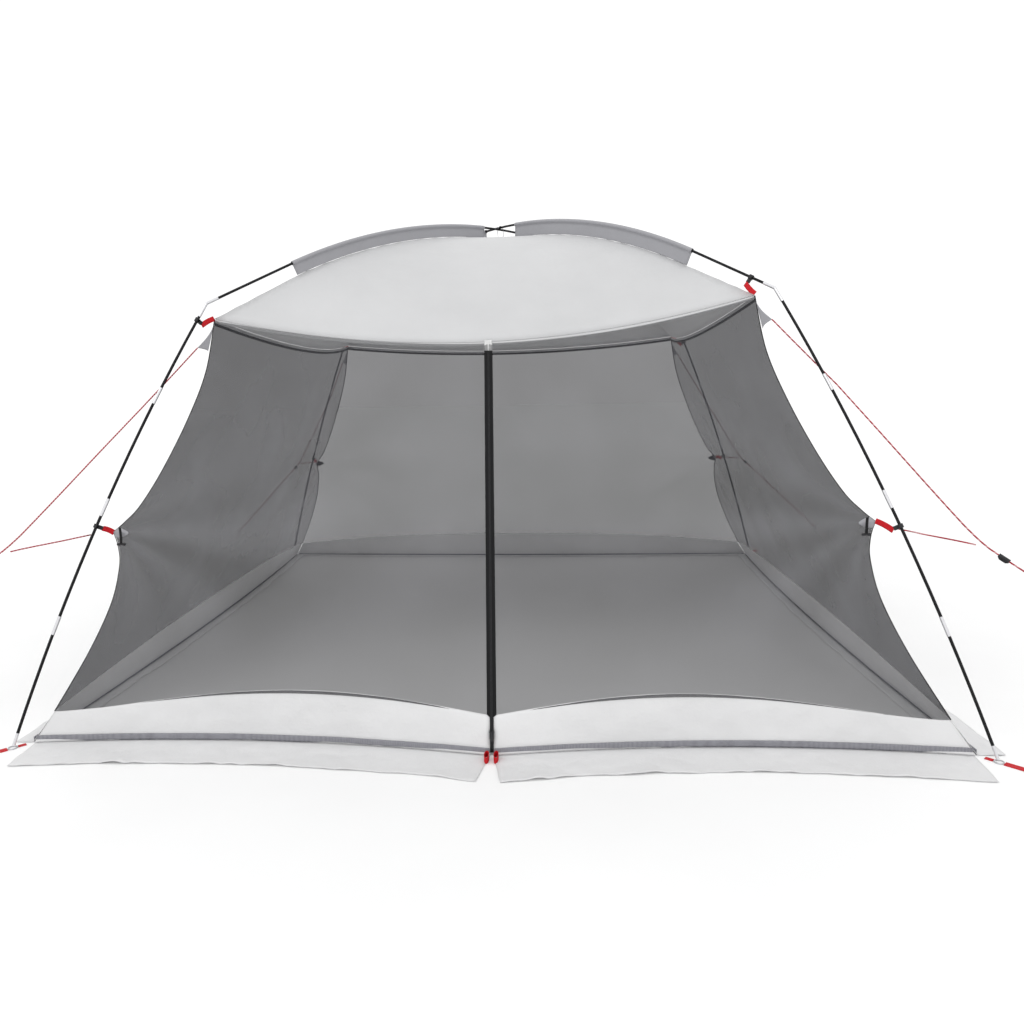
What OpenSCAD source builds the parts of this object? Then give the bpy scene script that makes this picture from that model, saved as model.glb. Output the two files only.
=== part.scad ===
// Screen house: a square mesh shelter hung from two crossing shock-corded poles.
// Millimetres. X runs to the right, Y to the back, Z up. The door is on the -Y side.
// The origin is on the ground at the middle of the footprint.

/* [Footprint and heights] */
// Half of the distance between neighbouring wall corners on the ground
base_half = 1750; // [1700:5:1800]
// How far each pole foot stands outside its wall corner, along X and along Y
foot_out = 45; // [40:1:55]
// Height of the pole crossing
apex_height = 2150; // [2100:5:2200]
// How far the pole crossing stands behind the middle of the footprint
apex_back = 75; // [60:1:90]
// Half of the distance between neighbouring pole elbows
elbow_half = 1165; // [1150:1:1180]
// Height of the pole elbows
elbow_height = 1665; // [1650:1:1680]
// Half of the distance between neighbouring roof corners
roof_half = 1125; // [1115:1:1130]
// The roof hangs this far to the right of the poles, so a negative value moves it left
roof_shift = -28; // [-35:1:0]

/* [Poles] */
// Radius of the fibreglass pole
pole_r = 5.5; // [5:0.1:6]
// Radius of the metal ferrules
ferrule_r = 6.3; // [6.1:0.1:7]
// Length of one ferrule
ferrule_len = 72; // [50:1:80]
// How far each leg bows outward at its middle
leg_bow = 45; // [30:1:60]
// Bend radius of the roof arch
arch_r = 2850; // [2750:10:2950]

/* [Fabric] */
// Thickness of the mesh and the coated cloth as solids
cloth = 1.2; // [1:0.1:1.5]
// Sag of the front roof edge below its corners
front_sag = 138; // [100:2:150]
// Sag of the other roof edges
side_sag = 65; // [50:5:80]
// How far each roof edge curves in between its corners
edge_bow = 50; // [30:5:60]
// Height of the zip head above the ground
zip_head_height = 1487; // [1480:1:1495]
// Height of the white band between the corners
band_height = 180; // [160:5:195]
// Height of the white band at the corners
band_corner = 100; // [90:5:110]
// Width of the skirt that lies on the ground in front and behind
skirt_width = 200; // [180:5:220]
// What shows of the side skirts, which are partly tucked under
side_skirt_width = 80; // [70:5:100]

/* [Guy ropes] */
// Radius of the guy rope
rope_r = 2; // [1.5:0.1:2.2]

/* [Hidden] */
CORNERS = ["front_left", "front_right", "back_right", "back_left"];
$fn = 32;

// Signs of X and Y at each corner, counter-clockwise from the front left
SX = [-1, 1, 1, -1];
SY = [-1, -1, 1, 1];
// Where each wall corner really stands, as small offsets from the square
BASE_SHIFT = [[40, 70], [-10, 0], [15, -70], [-40, 25]];
// Height of each roof corner
ROOF_CORNER_Z = [1605, 1655, 1630, 1610];
// The upper pole crosses over the lower one, so it stands one diameter higher
POLE_STEP = 2 * pole_r + 0.6;

function mix(a, b, t) = a + (b - a) * t;
function unit(v) = v / norm(v);
function flat(rows) = [for (row = rows) for (p = row) p];
function lift(k) = k % 2 == 0 ? 0 : POLE_STEP;
function base(k) = [
  SX[k] * base_half + BASE_SHIFT[k][0], SY[k] * base_half + BASE_SHIFT[k][1], 0];
function foot(k) = base(k) + [SX[k] * foot_out, SY[k] * foot_out, 0];
function roof_corner(k) = [
  SX[k] * roof_half + roof_shift, apex_back + SY[k] * roof_half, ROOF_CORNER_Z[k]];
function elbow(k) = [
  SX[k] * elbow_half, apex_back + SY[k] * elbow_half, elbow_height + lift(k)];

// ---------- general solids ----------

// A thin closed sheet: a grid of points and the same grid moved by shift
module sheet(grid, shift) {
  rows = len(grid);
  cols = len(grid[0]);
  count = rows * cols;
  surface = flat(grid);
  i_mid = floor((rows - 1) / 2);
  j_mid = floor((cols - 1) / 2);
  corner = grid[i_mid][j_mid];
  facing = cross(grid[i_mid][j_mid + 1] - corner, grid[i_mid + 1][j_mid] - corner) * shift > 0;
  loop = concat(
    [for (j = [0:cols - 1]) j],
    [for (i = [1:rows - 1]) i * cols + cols - 1],
    [for (j = [cols - 2:-1:0]) (rows - 1) * cols + j],
    [for (i = [rows - 2:-1:1]) i * cols]);
  faces = concat(
    [for (i = [0:rows - 2], j = [0:cols - 2])
      each [
        [i * cols + j, i * cols + j + 1, (i + 1) * cols + j + 1],
        [i * cols + j, (i + 1) * cols + j + 1, (i + 1) * cols + j]]],
    [for (i = [0:rows - 2], j = [0:cols - 2])
      each [
        [count + (i + 1) * cols + j + 1, count + i * cols + j + 1, count + i * cols + j],
        [count + (i + 1) * cols + j, count + (i + 1) * cols + j + 1, count + i * cols + j]]],
    [for (n = [0:len(loop) - 1])
      let (p = loop[n], q = loop[(n + 1) % len(loop)])
      each [[q, p, p + count], [q, p + count, q + count]]]);
  polyhedron(
    points = concat(surface, [for (p = surface) p + shift]),
    faces = facing ? faces : [for (f = faces) [f[2], f[1], f[0]]],
    convexity = 6);
}

// A round rope swept along route points, with flat ends
module tube(path, r, sides = 8) {
  count = len(path);
  rings = [for (i = [0:count - 1])
    let (
      along = unit(path[min(i + 1, count - 1)] - path[max(i - 1, 0)]),
      side = unit(cross(along, [0, 0, 1])),
      over = cross(along, side))
    [for (n = [0:sides - 1])
      path[i] + r * (cos(360 * n / sides) * side + sin(360 * n / sides) * over)]];
  walls = [for (i = [0:count - 2], n = [0:sides - 1])
    let (m = (n + 1) % sides)
    each [
      [i * sides + n, (i + 1) * sides + n, (i + 1) * sides + m],
      [i * sides + n, (i + 1) * sides + m, i * sides + m]]];
  polyhedron(
    points = flat(rings),
    faces = concat(
      walls,
      [[for (n = [0:sides - 1]) n]],
      [[for (n = [sides - 1:-1:0]) (count - 1) * sides + n]]),
    convexity = 4);
}

// Turns local Z onto the line from p to q and moves the origin to p
module along(p, q) {
  d = q - p;
  translate(p)
    rotate([0, acos(d[2] / norm(d)), atan2(d[1], d[0])])
      children();
}

module rod(p, q, r) {
  along(p, q) cylinder(r = r, h = norm(q - p));
}

// A flat strap from p to q, on edge in the vertical plane through both
module strap(p, q, width, thick) {
  along(p, q)
    translate([-width / 2, -thick / 2, 0])
      cube([width, thick, norm(q - p)]);
}

// ---------- poles ----------

// The roof arch bends until this angle from the crossing and is straight from there to the elbow
ARCH_ANGLE = 26;
// Each leg bows on a circle through its foot and its elbow
function leg_chord(k) = norm(elbow(k) - foot(k));
function leg_r(k) = leg_chord(k) * leg_chord(k) / (8 * leg_bow) + leg_bow / 2;
function leg_half_angle(k) = asin(leg_chord(k) / 2 / leg_r(k));
function leg_azimuth(k) = atan2(foot(k)[1] - elbow(k)[1], foot(k)[0] - elbow(k)[0]);
function leg_outward(k) = [cos(leg_azimuth(k)), sin(leg_azimuth(k)), 0];
// Unit normal of the chord in the leg's plane, pointing out and up
function leg_normal(k) =
  let (d = unit(elbow(k) - foot(k)))
  d[2] * leg_outward(k) + [0, 0, -(d * leg_outward(k))];
function leg_centre(k) = mix(foot(k), elbow(k), 0.5) - leg_normal(k) * (leg_r(k) - leg_bow);
function leg_middle_angle(k) = atan2(leg_normal(k)[2], leg_normal(k) * leg_outward(k));
function leg_angle(k, t) = leg_middle_angle(k) + mix(-leg_half_angle(k), leg_half_angle(k), t);
function leg_point(k, t) =
  leg_centre(k)
  + leg_r(k) * (cos(leg_angle(k, t)) * leg_outward(k) + [0, 0, sin(leg_angle(k, t))]);

// A stretch of a leg between two shares of its length
module leg_piece(k, t0, t1, r) {
  translate(leg_centre(k))
    rotate([0, 0, leg_azimuth(k)])
      rotate([90, 0, 0])
        rotate([0, 0, leg_angle(k, t0)])
          rotate_extrude(angle = leg_angle(k, t1) - leg_angle(k, t0), $fn = 720)
            translate([leg_r(k), 0])
              circle(r = r, $fn = 16);
}

// Shares of the leg length at the ferrule middles, the foot tip and the elbow
FERRULE_AT = [0.25, 0.505, 0.765];
TIP_FROM = 0.006;
TIP_TO = 0.03;
LEG_TOP = 0.965;
MID_CLIP_AT = [0.463, 0.449, 0.455, 0.459];
TOP_CLIP_AT = 0.956;

module leg_tubes(k) {
  half = ferrule_len / 2 / leg_chord(k);
  starts = concat([TIP_TO], [for (t = FERRULE_AT) t + half]);
  ends = concat([for (t = FERRULE_AT) t - half], [LEG_TOP]);
  color("#1b1b1d")
    for (i = [0:len(starts) - 1])
      leg_piece(k, starts[i], ends[i], pole_r);
}

module foot_tips() {
  color("silver")
    for (k = [0:3])
      leg_piece(k, TIP_FROM, TIP_TO, pole_r);
}

module pole_ferrules() {
  color("silver")
    for (k = [0:3], t = FERRULE_AT)
      let (half = ferrule_len / 2 / leg_chord(k))
      leg_piece(k, t - half, t + half, ferrule_r);
}

// Where the straight part of the arch meets the elbow arm
ELBOW_ARM = 55;
function arch_centre(k) = [0, apex_back, apex_height + lift(k) - arch_r];
function diagonal(k) = [SX[k], SY[k], 0] / sqrt(2);
function arch_point(k, angle, r = arch_r) =
  arch_centre(k) + r * (sin(angle) * diagonal(k) + [0, 0, cos(angle)]);
function elbow_arm_end(k) =
  elbow(k) + ELBOW_ARM * unit(arch_point(k, ARCH_ANGLE) - elbow(k));

module pole_elbows() {
  color("silver")
    for (k = [0:3]) {
      rod(elbow(k), elbow_arm_end(k), ferrule_r);
      rod(elbow(k), leg_point(k, LEG_TOP), ferrule_r);
      translate(elbow(k)) sphere(r = ferrule_r + 0.6);
    }
}

// The pole's own tube joints leave this gap
TUBE_GAP = 0.5;

// One roof pole: an arc over the middle and a straight tube to each elbow
module roof_pole(k) {
  color("#1b1b1d") {
    translate(arch_centre(k))
      rotate([0, 0, atan2(SY[k], SX[k])])
        rotate([90, 0, 0])
          rotate([0, 0, 90 - ARCH_ANGLE])
            rotate_extrude(angle = 2 * ARCH_ANGLE, $fn = 360)
              translate([arch_r, 0])
                circle(r = pole_r, $fn = 16);
    for (side = [k, k + 2])
      let (
        from = arch_point(side, ARCH_ANGLE),
        to = elbow_arm_end(side),
        gap = TUBE_GAP * unit(to - from))
      rod(from + gap, to - gap, pole_r);
  }
}

// ---------- roof ----------

// The roof seams run this far inside the arch; the upper pole's sleeve is higher by its step
SEAM_DROP = 55;
SLEEVE_FROM = 2.4;
// The sleeve's fabric tube clears the pole
SLEEVE_BORE = pole_r + 0.7;
SLEEVE_SKIN = 1.2;

// A point on the roof seam at corner k, u = 0 at the crossing and 1 at the roof corner
function seam_top(k, u) =
  let (
    seam_r = arch_r - SEAM_DROP,
    bend = seam_r * sin(ARCH_ANGLE) / (roof_half * sqrt(2)),
    level = [0, apex_back, apex_height - arch_r])
  u <= bend
    ? let (a = asin(u * roof_half * sqrt(2) / seam_r))
      level + seam_r * (sin(a) * diagonal(k) + [0, 0, cos(a)])
    : mix(
        level + seam_r * (sin(ARCH_ANGLE) * diagonal(k) + [0, 0, cos(ARCH_ANGLE)]),
        roof_corner(k),
        (u - bend) / (1 - bend));

function edge_sag(k) = k == 0 ? front_sag : side_sag;
// Inward direction of the wall from corner k to corner k + 1
INWARD = [[0, 1, 0], [-1, 0, 0], [0, -1, 0], [1, 0, 0]];

// Roof panel k spans corners k and k + 1; v runs from -1 to 1 along its edge
function roof_point(k, u, v) =
  mix(seam_top(k, u), seam_top((k + 1) % 4, u), (v + 1) / 2)
  + (1 - v * v) * u * u * (edge_bow * INWARD[k] - [0, 0, edge_sag(k)]);

ROOF_ROWS = [0.02, 0.14, 0.28, 0.42, 0.56, 0.7, 0.785, 0.86, 0.93, 1];
ACROSS = [for (j = [0:12]) -1 + j / 6];

module roof_panel(k) {
  color("#d9dadb")
    sheet([for (u = ROOF_ROWS) [for (v = ACROSS) roof_point(k, u, v)]], [0, 0, -cloth]);
}

// A sleeve: a tube of cloth around the pole on a fin that is sewn to the roof seam
module sleeve(k) {
  fin = SEAM_DROP - 3 + lift(k);
  color("#8e8e94")
    translate(arch_centre(k))
      rotate([0, 0, atan2(SY[k], SX[k])])
        rotate([90, 0, 0])
          rotate([0, 0, 90 - ARCH_ANGLE])
            rotate_extrude(angle = ARCH_ANGLE - SLEEVE_FROM, $fn = 360)
              translate([arch_r, 0])
                difference() {
                  union() {
                    circle(r = SLEEVE_BORE + SLEEVE_SKIN, $fn = 24);
                    translate([-fin, -SLEEVE_SKIN / 2])
                      square([fin, SLEEVE_SKIN]);
                  }
                  circle(r = SLEEVE_BORE, $fn = 24);
                }
}

// The tie that holds the roof's middle to the pole crossing
module apex_tie() {
  tie_w = 24;
  roof_top = apex_height - SEAM_DROP + 1;
  pole_under = apex_height - pole_r - 0.5;
  color("#77777c")
    translate([-tie_w / 2, apex_back - tie_w / 2, roof_top])
      cube([tie_w, tie_w, pole_under - roof_top]);
}

// ---------- walls ----------

// A corner seam: share of the roof corner's height, and share of the way out to the wall corner.
// The strap at mid height pulls the seam out into a point.
SEAM = [
  [1, 0], [0.867, 0.063], [0.743, 0.175], [0.619, 0.317], [0.533, 0.437], [0.495, 0.516],
  [0.474, 0.571], [0.433, 0.556], [0.384, 0.56], [0.297, 0.611], [0.186, 0.73], [0.062, 0.897],
  [0, 1]];
STRAP_ROW = 6;
BAND_ROW = 11;
BASE_ROW = 12;
// Gap under the roof edge and above the band, so that neighbouring sheets stay clear
SHEET_GAP = 2;
// Share of the wall's width where its cloth ends short of the seam line
END = 0.998;
WALL_BOW = 50;

function seam(k, i) =
  let (top = roof_corner(k), low = base(k))
  [
    mix(top[0], low[0], SEAM[i][1]),
    mix(top[1], low[1], SEAM[i][1]),
    SEAM[i][0] * (top[2] - SHEET_GAP)];

// Height share of the wall's middle line in each row; the band top is higher there
function middle_share(i) =
  i == BAND_ROW ? band_height / (roof_point(0, 1, 0)[2]) : SEAM[i][0];
function wall_middle(k, i) =
  let (
    top = roof_point(k, 1, 0) - [0, 0, SHEET_GAP],
    low = mix(base(k), base((k + 1) % 4), 0.5) + WALL_BOW * INWARD[k],
    t = 1 - middle_share(i))
  [mix(top[0], low[0], t), mix(top[1], low[1], t), top[2] * middle_share(i)];

// The pull at the strap reaches only a short way along the wall, so the rows there are squarer
function wall_point(k, i, v) =
  let (
    left = seam(k, i),
    right = seam((k + 1) % 4, i),
    power = 2 + 2.5 * sin(180 * (1 - SEAM[i][0])))
  mix(left, right, (v + 1) / 2)
  + (wall_middle(k, i) - (left + right) / 2) * (1 - pow(abs(v), power));

WALL_ACROSS = [for (j = [0:14]) END * sin(-90 + j * 180 / 14)];

module mesh_wall(k) {
  color("#55565a", 0.6)
    sheet(
      [for (i = [0:BAND_ROW]) [for (v = WALL_ACROSS) wall_point(k, i, v)]],
      cloth * INWARD[k]);
}

module wall_band(k) {
  color("#e6e6e6")
    sheet(
      [for (t = [0, 0.5, 1])
        [for (v = WALL_ACROSS)
          mix(
            wall_point(k, BAND_ROW, v) - [0, 0, SHEET_GAP],
            wall_point(k, BASE_ROW, v),
            t)]],
      cloth * INWARD[k]);
}

// ---------- front door ----------

ZIP_HEAD = [0, apex_back - roof_half + edge_bow, zip_head_height];
// The zip's foot is pegged out a little to the right of the middle
ZIP_FOOT = [40, -base_half - 20, 0];
// Side 0 is the left half of the door and side 1 the right half
function door_dir(side) = unit(base(side) - ZIP_FOOT);
// A point on the flat flap: t from the zip head to the ground, w from the zip to the fold line
function flap_point(side, t, w) =
  ZIP_HEAD + t * ((ZIP_FOOT - ZIP_HEAD) + w * (base(side) - ZIP_FOOT));
// Height of the band's top edge along the flap
function flap_band_top(w) = band_corner + 25 * (1 - w) + (band_height - band_corner) * sin(180 * w);
function band_top_share(w) = 1 - flap_band_top(w) / zip_head_height;
// The ground line of the front curves in between the peg at the zip and the corner
FRONT_BOW = 70;
function front_base(side, w) =
  mix(ZIP_FOOT, base(side), w) + [0, FRONT_BOW * 4 * w * (1 - w), 0];

// The fixed panel lies between the fold line and the corner seam
PANEL_ROWS = [for (i = [0:BAND_ROW]) i];
function panel_row_start(side, i) = flap_point(side, 1 - SEAM[i][0], 1);
function panel_point(side, i, s) =
  let (
    start = i == 0 ? ZIP_HEAD - [0, 0, SHEET_GAP] : panel_row_start(side, i),
    end = seam(side, i),
    edge_share = pow(SEAM[i][0], 6),
    edge = roof_point(0, 1, SX[side] * s) - [0, 0, SHEET_GAP])
  mix(mix(start, end, s), edge, edge_share);

PANEL_ACROSS = [0.022, 0.2, 0.4, 0.6, 0.8, 0.93, END];

module front_panel(side) {
  color("#55565a", 0.6)
    sheet(
      [for (i = PANEL_ROWS) [for (s = PANEL_ACROSS) panel_point(side, i, s)]],
      [0, cloth, 0]);
}

// The flap's mesh starts just below the zip head and stops short of the fold line
FLAP_DOWN = [0.05, 0.35, 0.7, 1];
FLAP_ACROSS = [0.004, 0.15, 0.3, 0.45, 0.6, 0.75, 0.88, 0.975];

module flap_mesh(side) {
  color("#55565a", 0.6)
    sheet(
      [for (t = FLAP_DOWN)
        [for (w = FLAP_ACROSS) flap_point(side, t * band_top_share(w), w)]],
      [0, cloth, 0]);
}

// The band and skirt stop short of the corner, where a fixed end piece takes over
BAND_SPLIT = 0.91;
function band_across(from, to) = [for (j = [0:10]) mix(from, to, j / 10)];
function front_band_grid(side, from, to) =
  [for (t = [0, 0.5, 1])
    [for (w = band_across(from, to))
      mix(flap_point(side, band_top_share(w), w) - [0, 0, SHEET_GAP], front_base(side, w), t)]];

module flap_band(side) {
  color("#e6e6e6")
    sheet(front_band_grid(side, 0.004, BAND_SPLIT - 0.004), [0, cloth, 0]);
}

module side_band(k) {
  wall_band(k);
  if (k == 3)
    color("#e6e6e6") sheet(front_band_grid(0, BAND_SPLIT, 0.985), [0, cloth, 0]);
  if (k == 1)
    color("#e6e6e6") sheet(front_band_grid(1, BAND_SPLIT, 0.985), [0, cloth, 0]);
}

// A skirt is a strip on the ground, outside the base line, with a wavy outer edge
SKIRT_GAP = 3;
SKIRT_WAVE = 6;
SKIRT_PHASE = 115;
function skirt_grid(line, out, width = skirt_width) =
  [for (t = [0, 0.5, 1])
    [for (j = [0:len(line) - 1])
      line[j] + out * (SKIRT_GAP + t * (width - SKIRT_GAP + SKIRT_WAVE * sin(j * SKIRT_PHASE)))]];

module flap_skirt(side) {
  color("#e6e6e6")
    sheet(
      skirt_grid(
        [for (w = band_across(0.03, BAND_SPLIT - 0.004)) front_base(side, w)],
        [0, -1, 0]),
      [0, 0, cloth]);
}

module ground_skirts() {
  color("#e6e6e6") {
    for (k = [1:3])
      sheet(
        skirt_grid(
          [for (v = WALL_ACROSS) wall_point(k, BASE_ROW, v)],
          -INWARD[k],
          k == 2 ? skirt_width : side_skirt_width),
        [0, 0, cloth]);
    for (side = [0, 1])
      sheet(
        skirt_grid(
          [for (w = [BAND_SPLIT, 0.94, 0.97, 0.985]) front_base(side, w)],
          [0, -1, 0]),
        [0, 0, cloth]);
  }
}

// The zip tapes lie on the outer face of the flaps, on both sides of the middle line
TAPE_W = 18;
TAPE_OUT = 0.6;
function zip_point(side, t, w) =
  mix(ZIP_HEAD, ZIP_FOOT, t) + w * door_dir(side) + [0, -TAPE_OUT, 0];

module zip_tape(side) {
  color("#222224")
    sheet([for (t = [0.02, 0.99]) [for (w = [0.8, TAPE_W]) zip_point(side, t, w)]], [0, -1, 0]);
}

// The slider rides in front of both tapes
SLIDER_AT = 0.965;
SLIDER_LEN = 32;
SLIDER_W = 15;
SLIDER_THICK = 8;
// Slope of the zip line from the vertical: backwards and to the side
ZIP_LEAN = atan2(ZIP_HEAD[1] - ZIP_FOOT[1], zip_head_height);
ZIP_TILT = atan2(ZIP_HEAD[0] - ZIP_FOOT[0], zip_head_height);
PULL_LEN = 34;
PIN_R = 1.5;
PIN_BELOW_TOP = 8;
// The pull's plate hangs this far in front of the pin
PULL_OUT = 5.5;
PULL_THICK = 2;
PULL_NECK = 6;
PULL_W = 10;
// The slot between the slider's ears
EAR_GAP = 8;
EAR_LEN = 14;
SLIDER_BACK = 3;

// Local frame on the zip line: Z up the zip, -Y out of the door
module on_zip() {
  translate(mix(ZIP_HEAD, ZIP_FOOT, SLIDER_AT))
    rotate([-ZIP_LEAN, ZIP_TILT, 0])
      children();
}

// Local frame on the pin through the slider's ears
module on_pin() {
  on_zip()
    translate([0, 1 - SLIDER_THICK, SLIDER_LEN - PIN_BELOW_TOP])
      children();
}

module zip_slider() {
  color("#3a3a3d")
    difference() {
      on_zip()
        translate([-SLIDER_W / 2, -SLIDER_THICK - SLIDER_BACK, 0])
          cube([SLIDER_W, SLIDER_THICK, SLIDER_LEN]);
      on_pin()
        rotate([0, 90, 0])
          cylinder(r = PIN_R + 0.1, h = SLIDER_W + 2, center = true);
      on_zip()
        translate([-EAR_GAP / 2, -SLIDER_THICK - SLIDER_BACK - 1, SLIDER_LEN - EAR_LEN])
          cube([EAR_GAP, SLIDER_THICK + 2, EAR_LEN + 1]);
    }
}

// The pull turns on its pin and hangs over the slider's face: a lug, a neck and a wider plate
module zip_pull() {
  lug = 1.2;
  neck_len = 15;
  color("#2a2a2c")
    on_pin() {
      rotate([0, 90, 0])
        cylinder(r = PIN_R, h = SLIDER_W + 4, center = true);
      translate([-PULL_NECK / 2, -PULL_OUT - PULL_THICK, -lug])
        cube([PULL_NECK, PULL_OUT + PULL_THICK, 2 * lug]);
      translate([-PULL_NECK / 2, -PULL_OUT - PULL_THICK, lug - neck_len])
        cube([PULL_NECK, PULL_THICK, neck_len]);
      translate([-PULL_W / 2, -PULL_OUT - PULL_THICK, -PULL_LEN])
        cube([PULL_W, PULL_THICK, PULL_LEN - neck_len + 2]);
    }
}

// ---------- corner hardware ----------

CLIP_BORE = pole_r + 0.9;
CLIP_R = CLIP_BORE + 4;
CLIP_H = 16;
CLIP_ARM = 16;
CLIP_ARM_THICK = 7;

// Each corner has a clip at mid height (top = false) and one near the elbow (top = true).
// The front right one near the elbow sits on the roof tube, the others on the leg.
ROOF_CLIP_FROM_ELBOW = 120;
function on_roof_tube(k, top) = top && k == 1;
function clip_share(k, top) = top ? TOP_CLIP_AT : MID_CLIP_AT[k];
function roof_tube_way(k) = unit(arch_point(k, ARCH_ANGLE) - elbow(k));
function clip_centre(k, top) =
  on_roof_tube(k, top)
    ? elbow(k) + ROOF_CLIP_FROM_ELBOW * roof_tube_way(k)
    : leg_point(k, clip_share(k, top));
// Direction of the pole through the clip
function clip_axis(k, top) =
  on_roof_tube(k, top)
    ? roof_tube_way(k)
    : unit(leg_point(k, clip_share(k, top) + 0.001) - leg_point(k, clip_share(k, top) - 0.001));
// What the clip's strap holds
function clip_target(k, top) = (top ? roof_corner(k) : seam(k, STRAP_ROW)) + 5 * diagonal(k);
// Direction of the clip's arm: square to the pole, towards what it holds
function clip_in(k, top) =
  let (d = clip_target(k, top) - clip_centre(k, top), axis = clip_axis(k, top))
  unit(d - (d * axis) * axis);
// A point in front of the clip's arm
function clip_eye(k, top, gap) = clip_centre(k, top) + (CLIP_R + CLIP_ARM - 2 + gap) * clip_in(k, top);

// A hook around the pole with an arm towards the tent
module pole_clip(k, top) {
  x = -clip_in(k, top);
  z = clip_axis(k, top);
  y = cross(z, x);
  at = clip_centre(k, top);
  multmatrix([
    [x[0], y[0], z[0], at[0]],
    [x[1], y[1], z[1], at[1]],
    [x[2], y[2], z[2], at[2]],
    [0, 0, 0, 1]])
    difference() {
      union() {
        cylinder(r = CLIP_R, h = CLIP_H, center = true);
        translate([-CLIP_R - CLIP_ARM / 2 + 2, 0, 0])
          cube([CLIP_ARM, CLIP_ARM_THICK, CLIP_H], center = true);
      }
      cylinder(r = CLIP_BORE, h = CLIP_H + 2, center = true);
      translate([0, CLIP_BORE - 2, 0])
        cube([CLIP_BORE * 1.4, CLIP_BORE * 2, CLIP_H + 2], center = true);
    }
}

module pole_clips() {
  color("#202022")
    for (k = [0:3], top = [false, true])
      pole_clip(k, top);
}

STRAP_W = 20;
STRAP_THICK = 2;
// The strap starts this far in front of the clip's arm and ends at this share of its way
STRAP_GAP = 9;
function strap_end(k, top) = on_roof_tube(k, top) ? 0.75 : 0.9;

module red_straps() {
  color("#d11f26")
    for (k = [0:3], top = [false, true])
      let (from = clip_eye(k, top, STRAP_GAP))
      strap(from, mix(from, clip_target(k, top), strap_end(k, top)), STRAP_W, STRAP_THICK);
}

// The cloth triangles that the upper guy ropes pull on, below each roof corner
// How much higher the rope starts at each corner than at the even height
TIP_RISE = [-10, 58, 20, 5];
PATCH_OUT = 1178;
PATCH_TIP_Z = 1500;
function patch_tip(k) = [
  SX[k] * PATCH_OUT + roof_shift, apex_back + SY[k] * PATCH_OUT, PATCH_TIP_Z + TIP_RISE[k]];
PATCH_THICK = 1.2;

module corner_patches() {
  color("#8e8e94")
    for (k = [0:3])
      let (
        out = 5 * diagonal(k),
        top = mix(roof_corner(k), seam(k, 1), 0.12) + out,
        low = mix(roof_corner(k), seam(k, 1), 0.62) + out,
        tip = patch_tip(k))
      sheet(
        [[top, low], [mix(top, tip, 0.85), mix(low, tip, 0.85)]],
        PATCH_THICK * cross(diagonal(k), [0, 0, 1]));
}

// Tie-backs: a short webbing tail with a toggle that hangs beside the corner seam
TIE_LEN = 62;
function tie_pivot(side) = seam(side, STRAP_ROW) + [-SX[side] * 34, -14, 14];

module tie_back(side) {
  color("#202022")
    translate(tie_pivot(side)) {
      rotate([0, 90, 0]) cylinder(r = 3, h = 16, center = true);
      translate([-5, -0.75, -TIE_LEN]) cube([10, 1.5, TIE_LEN]);
      translate([0, 0, -TIE_LEN]) rotate([0, 90, 0]) cylinder(r = 5, h = 34, center = true);
    }
}

// Red loops for the two pegs at the foot of the zip, one on each flap
LOOP_THICK = 2.4;
PEG_HOLE_R = 9;

module flat_loop(len, width) {
  difference() {
    linear_extrude(LOOP_THICK)
      union() {
        translate([0, -width / 2]) square([len - width / 2, width]);
        translate([len - width / 2, 0]) circle(r = width / 2);
      }
    translate([len - width / 2, 0, -1]) cylinder(r = PEG_HOLE_R, h = LOOP_THICK + 2);
  }
}

module peg_loop(side) {
  color("#d11f26")
    translate([ZIP_FOOT[0] + SX[side] * 17, ZIP_FOOT[1] - 4, 0])
      rotate([0, 0, -90])
        flat_loop(58, 26);
}

// Steel rings that the pole tips stand in
RING_R = 15;
RING_WIRE = 2.2;

module foot_rings() {
  color("silver")
    for (k = [0:3])
      translate(foot(k) + [0, 0, RING_WIRE])
        rotate_extrude()
          translate([RING_R, 0])
            circle(r = RING_WIRE, $fn = 16);
}

// Two red webbing straps from each ring: one out to the ground peg, one in to the wall corner
LOOP_FROM = RING_R + RING_WIRE + 0.5;

module foot_loops() {
  color("#d11f26")
    for (k = [0:3])
      translate(foot(k))
        rotate([0, 0, atan2(SY[k], SX[k])]) {
          translate([LOOP_FROM, 0, 0]) flat_loop(92, 28);
          translate([-LOOP_FROM - 26, -9, 0]) cube([26, 18, LOOP_THICK]);
        }
}

// ---------- guy ropes ----------

// Routes in the diagonal plane of each corner: X = Y distance from the crossing, and height
UPPER_ROUTE = [
  [1182, 1494], [1240, 1413], [1300, 1330], [1360, 1248], [1420, 1167], [1480, 1086],
  [1540, 1004], [1600, 922], [1660, 841], [1700, 788], [1726, 757], [1744, 738], [1760, 723],
  [1800, 690], [1860, 642], [1940, 578], [2030, 506], [2130, 426], [2230, 346], [2330, 266],
  [2430, 186], [2530, 106], [2590, 58], [2630, 26]];
LOWER_ROUTE = [
  [1535, 758], [1570, 753], [1605, 748], [1640, 744], [1675, 740], [1705, 736], [1728, 732]];
// The tensioner's place and the direction of the tail rope, in the same plane
TENSIONER_AT = [1780, 706.7];
TAIL = [2630 - 1800, 26 - 690];
function rope_point(k, p) = [SX[k] * p[0], apex_back + SY[k] * p[0], p[1]];
// The upper rope starts at the patch and comes into the diagonal plane where the ropes meet
MEET_AT = 1760;
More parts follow.
